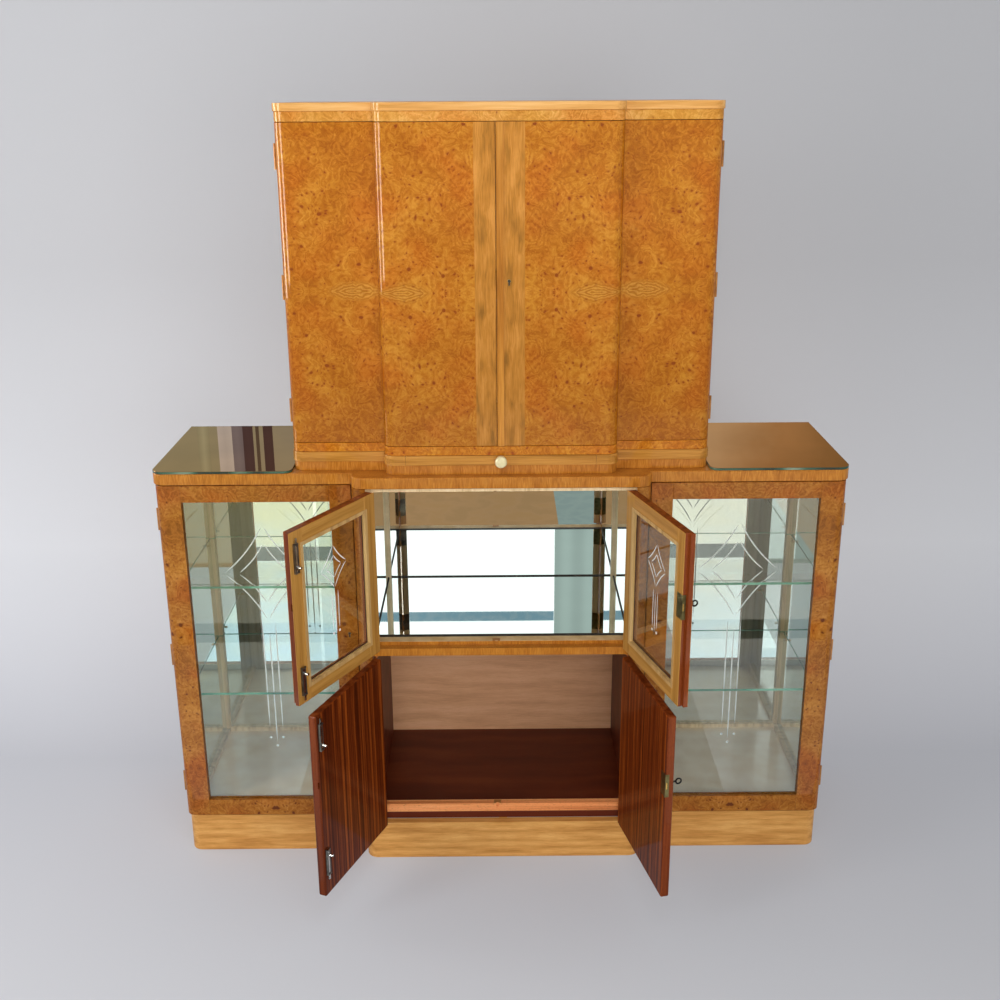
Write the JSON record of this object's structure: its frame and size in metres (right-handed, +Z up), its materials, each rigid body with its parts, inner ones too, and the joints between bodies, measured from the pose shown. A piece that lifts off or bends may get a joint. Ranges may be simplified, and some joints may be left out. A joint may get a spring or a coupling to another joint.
{
  "type": "bar cabinet",
  "caption": "Tall burl-veneered bar cabinet with glazed display cases, a mirrored bar behind glazed doors, panelled doors below and an upper cupboard over a pull-out board.",
  "frame": {"origin": "on the floor, midway across the cabinet and midway through its depth", "axes": "+X to the right seen from the front, +Y to the back, +Z up"},
  "size_m": [1.6, 0.7432, 1.8],
  "materials": {
    "burl_veneer": "high polish",
    "blonde_veneer": "polished",
    "ash_veneer": "polished",
    "maple_veneer": "polished",
    "sapele": "polished",
    "silver_veneer": "polished",
    "back_plywood": "plain",
    "mirror_glass": "silvered",
    "etched_glass": "polished, cut pattern",
    "shelf_glass": "polished",
    "smoked_glass": "polished",
    "brass": "worn",
    "bronzed_steel": "worn",
    "bright_steel": "worn",
    "dark_iron": "satin",
    "cream_plastic": "glossy"
  },
  "bodies": {
    "cabinet": {"plinth": "ash_veneer", "case_bottom": "sapele", "side_panel_left": "burl_veneer", "side_panel_right": "burl_veneer", "partitions": "sapele", "centre_posts": "burl_veneer", "back_panels": "back_plywood", "counter_slab": "burl_veneer", "counter_glass": "smoked_glass", "display_floors": "silver_veneer", "display_mirrors": "mirror_glass", "glass_shelves": "shelf_glass", "shelf_pins": "brass", "bar_rail": "burl_veneer", "bar_floor": "blonde_veneer", "bar_mirrors": "mirror_glass", "lower_trim": "sapele", "upper_base": "burl_veneer", "upper_bottom": "burl_veneer", "upper_frieze": "burl_veneer", "upper_cap": "blonde_veneer", "upper_sides": "burl_veneer", "slide_band": "blonde_veneer", "upper_back": "back_plywood", "upper_shelf": "blonde_veneer", "fixed_fittings": "brass", "trim_beads": "blonde_veneer"},
    "display_left": {"display_door_left": "burl_veneer", "display_pane_left": "etched_glass", "display_hinges_left": "brass"},
    "bar_left": {"bar_door_left": "maple_veneer", "bar_pane_left": "etched_glass", "bar_beads_left": "blonde_veneer", "bar_fittings_left": "bronzed_steel"},
    "lower_left": {"lower_door_left": "sapele", "lower_fittings_left": "bronzed_steel"},
    "upper_left": {"upper_door_left": "burl_veneer", "upper_hinges_left": "brass"},
    "display_right": {"display_door_right": "burl_veneer", "display_pane_right": "etched_glass", "display_hinges_right": "brass"},
    "bar_right": {"bar_door_right": "maple_veneer", "bar_pane_right": "etched_glass", "bar_beads_right": "blonde_veneer", "bar_fittings_right": "bronzed_steel"},
    "lower_right": {"lower_door_right": "sapele", "lower_fittings_right": "bronzed_steel"},
    "upper_right": {"upper_door_right": "burl_veneer", "upper_hinges_right": "brass", "astragal": "blonde_veneer"},
    "slide": {"slide_board": "blonde_veneer", "slide_knob": "cream_plastic"},
    "bar_top_bolt": {"bar_top_bolt": "bright_steel"},
    "bar_base_bolt": {"bar_base_bolt": "bright_steel"},
    "lower_top_bolt": {"lower_top_bolt": "bright_steel"},
    "lower_base_bolt": {"lower_base_bolt": "bright_steel"},
    "bar_key": {"bar_key": "dark_iron"},
    "bar_lock_bolt": {"bar_lock_bolt": "brass"},
    "lower_key": {"lower_key": "dark_iron"},
    "lower_lock_bolt": {"lower_lock_bolt": "brass"}
  },
  "joints": [
    {"name": "display_left_swing", "type": "hinge", "parent": "cabinet", "child": "display_left", "pos_m": [-0.7973, -0.1768, 0.5355], "axis": [0, 0, -1], "range_deg": [0, 100]},
    {"name": "bar_left_swing", "type": "hinge", "parent": "cabinet", "child": "bar_left", "pos_m": [-0.3048, -0.2418, 0.7734], "axis": [0, 0, -1], "range_deg": [-119, 31]},
    {"name": "lower_left_swing", "type": "hinge", "parent": "cabinet", "child": "lower_left", "pos_m": [-0.3048, -0.2418, 0.3286], "axis": [0, 0, -1], "range_deg": [-112.5, 37.5]},
    {"name": "upper_left_swing", "type": "hinge", "parent": "cabinet", "child": "upper_left", "pos_m": [-0.4778, -0.1498, 1.413], "axis": [0, 0, -1], "range_deg": [0, 100]},
    {"name": "display_right_swing", "type": "hinge", "parent": "cabinet", "child": "display_right", "pos_m": [0.7973, -0.1768, 0.5355], "axis": [0, 0, 1], "range_deg": [0, 100]},
    {"name": "bar_right_swing", "type": "hinge", "parent": "cabinet", "child": "bar_right", "pos_m": [0.3048, -0.2418, 0.7734], "axis": [0, 0, 1], "range_deg": [-107, 43]},
    {"name": "lower_right_swing", "type": "hinge", "parent": "cabinet", "child": "lower_right", "pos_m": [0.3048, -0.2418, 0.3286], "axis": [0, 0, 1], "range_deg": [-103, 47]},
    {"name": "upper_right_swing", "type": "hinge", "parent": "cabinet", "child": "upper_right", "pos_m": [0.4778, -0.1498, 1.413], "axis": [0, 0, 1], "range_deg": [0, 100]},
    {"name": "slide_pull", "type": "slide", "parent": "cabinet", "child": "slide", "axis": [0, -1, 0], "range_m": [0, 0.25]},
    {"name": "bar_top_bolt_slide", "type": "slide", "parent": "bar_left", "child": "bar_top_bolt", "axis": [0, 0, 1], "range_m": [0, 0.008]},
    {"name": "bar_base_bolt_slide", "type": "slide", "parent": "bar_left", "child": "bar_base_bolt", "axis": [0, 0, -1], "range_m": [0, 0.008]},
    {"name": "lower_top_bolt_slide", "type": "slide", "parent": "lower_left", "child": "lower_top_bolt", "axis": [0, 0, 1], "range_m": [0, 0.008]},
    {"name": "lower_base_bolt_slide", "type": "slide", "parent": "lower_left", "child": "lower_base_bolt", "axis": [0, 0, -1], "range_m": [0, 0.008]},
    {"name": "bar_key_turn", "type": "hinge", "parent": "bar_right", "child": "bar_key", "pos_m": [0.38843, -0.51535, 0.806], "axis": [-0.9563, -0.2924, 0], "range_deg": [0, 90]},
    {"name": "bar_lock_throw", "type": "slide", "parent": "bar_right", "child": "bar_lock_bolt", "axis": [0.2924, -0.9563, 0], "range_m": [0, 0.008]},
    {"name": "lower_key_turn", "type": "hinge", "parent": "lower_right", "child": "lower_key", "pos_m": [0.37005, -0.52442, 0.388], "axis": [-0.9744, -0.225, 0], "range_deg": [0, 90]},
    {"name": "lower_lock_throw", "type": "slide", "parent": "lower_right", "child": "lower_lock_bolt", "axis": [0.225, -0.9744, 0], "range_m": [0, 0.008]}
  ],
  "couplings": [
    {"joint": "bar_lock_throw", "follows": "bar_key_turn", "m_per_rad": 0.00508},
    {"joint": "lower_lock_throw", "follows": "lower_key_turn", "m_per_rad": 0.00508}
  ]
}
